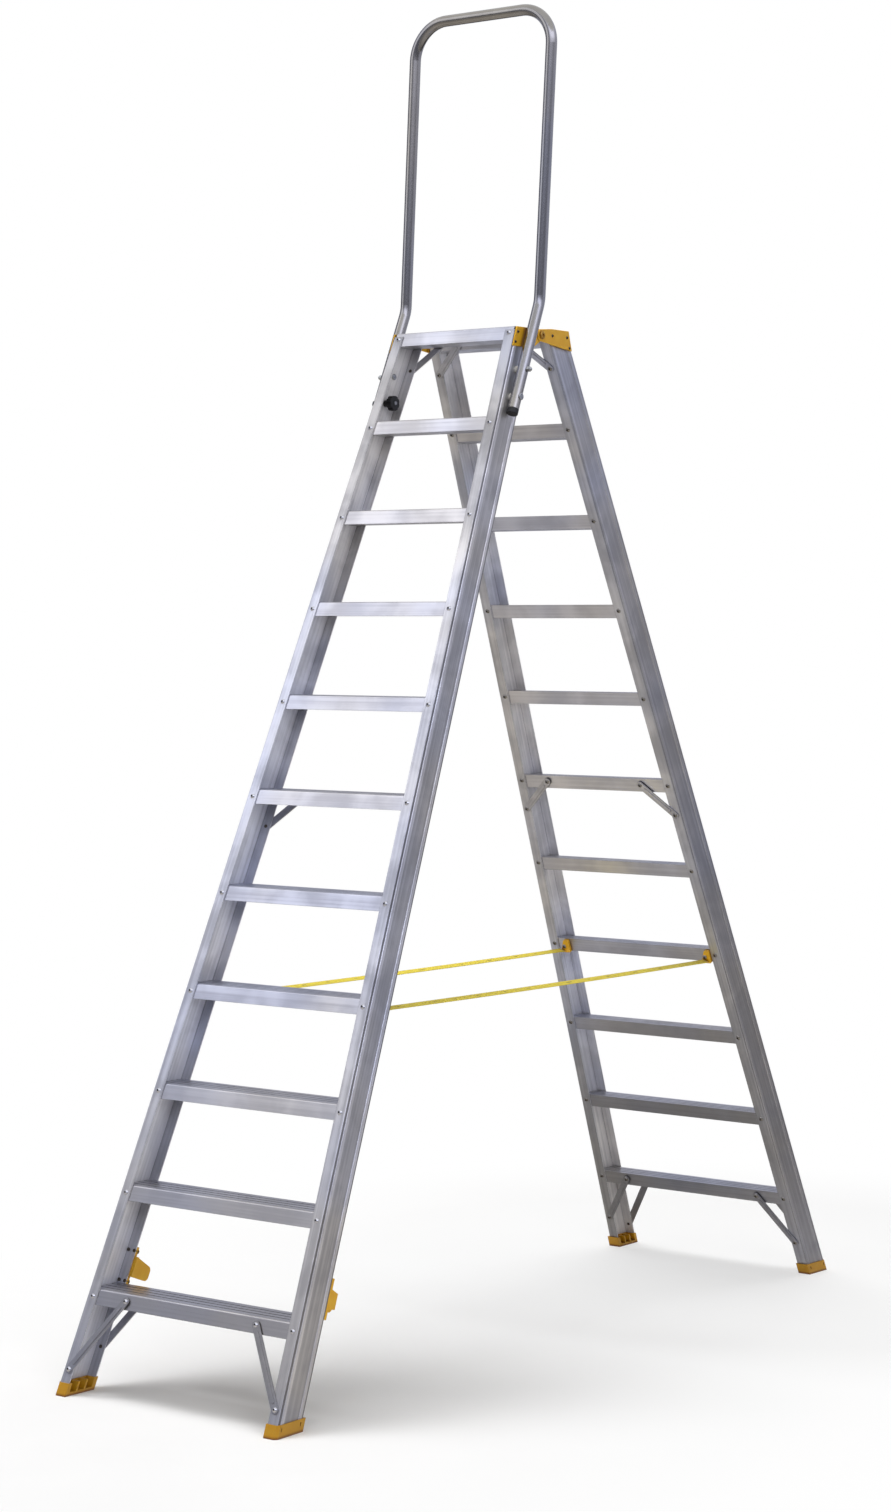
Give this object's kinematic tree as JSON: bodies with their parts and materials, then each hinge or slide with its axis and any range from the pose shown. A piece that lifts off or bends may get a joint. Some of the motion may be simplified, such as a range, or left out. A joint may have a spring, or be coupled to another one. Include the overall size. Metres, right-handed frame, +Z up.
{
  "type": "double-sided stepladder",
  "caption": "Double-sided aluminium stepladder with flat grooved treads in tapered channel frames, yellow hinge plates and shoes, spreader straps and a tall tube hand hoop.",
  "frame": {"origin": "on the floor, midway between the four feet, 10 mm behind the point under the hinge axis", "axes": "+Z up, +X to the right of a person facing the front frame, +Y from the front frame to the rear frame"},
  "size_m": [0.702, 2.4812, 3.5075],
  "materials": {
    "stiles": "extruded, satin",
    "treads": "extruded, satin",
    "braces": "ribbed strip, dull",
    "rivets": "bright",
    "hoop_tube": "drawn, satin",
    "fasteners": "zinc plated",
    "yellow_plastic": "moulded, satin",
    "black_plastic": "moulded",
    "webbing": "woven"
  },
  "bodies": {
    "front_frame": {"front_right_stile": "stiles", "front_left_stile": "stiles", "front_tread_01": "treads", "front_tread_02": "treads", "front_tread_03": "treads", "front_tread_04": "treads", "front_tread_05": "treads", "front_tread_06": "treads", "front_tread_07": "treads", "front_tread_08": "treads", "front_tread_09": "treads", "front_tread_10": "treads", "front_tread_11": "treads", "front_tread_rivets": "rivets", "front_fixing_rivets": "rivets", "front_upper_braces": "braces", "front_lower_braces": "braces", "front_right_shoe": "yellow_plastic", "front_left_shoe": "yellow_plastic", "front_right_hinge_plate": "yellow_plastic", "front_left_hinge_plate": "yellow_plastic", "front_strap_clips": "yellow_plastic", "hinge_bolts": "fasteners", "hinge_nuts": "fasteners", "hand_hoop": "hoop_tube", "hoop_end_plugs": "black_plastic", "hoop_spacers": "black_plastic", "hoop_bolts": "fasteners", "hoop_dome_nuts": "fasteners", "clamp_bolts": "fasteners", "right_transport_catch": "yellow_plastic", "left_transport_catch": "yellow_plastic", "right_strap": "webbing", "left_strap": "webbing"},
    "rear_frame": {"rear_right_stile": "stiles", "rear_left_stile": "stiles", "rear_tread_01": "treads", "rear_tread_02": "treads", "rear_tread_03": "treads", "rear_tread_04": "treads", "rear_tread_05": "treads", "rear_tread_06": "treads", "rear_tread_07": "treads", "rear_tread_08": "treads", "rear_tread_09": "treads", "rear_tread_10": "treads", "rear_tread_11": "treads", "rear_tread_rivets": "rivets", "rear_fixing_rivets": "rivets", "rear_upper_braces": "braces", "rear_lower_braces": "braces", "rear_right_shoe": "yellow_plastic", "rear_left_shoe": "yellow_plastic", "rear_right_hinge_plate": "yellow_plastic", "rear_left_hinge_plate": "yellow_plastic", "rear_strap_clips": "yellow_plastic"},
    "right_knob": {"right_clamp_knob": "black_plastic"},
    "left_knob": {"left_clamp_knob": "black_plastic"}
  },
  "joints": [
    {"name": "frame_fold", "type": "hinge", "parent": "front_frame", "child": "rear_frame", "pos_m": [0, -0.01, 2.627], "axis": [1, 0, 0], "range_deg": [-46, 0], "deforming": ["right_strap", "left_strap"]},
    {"name": "right_knob_turn", "type": "hinge", "parent": "front_frame", "child": "right_knob", "pos_m": [0.18763, -0.14809, 2.456], "axis": [-1, 0, 0], "range_deg": [0, 720]},
    {"name": "left_knob_turn", "type": "hinge", "parent": "front_frame", "child": "left_knob", "pos_m": [-0.18763, -0.14809, 2.456], "axis": [1, 0, 0], "range_deg": [0, 720]}
  ]
}
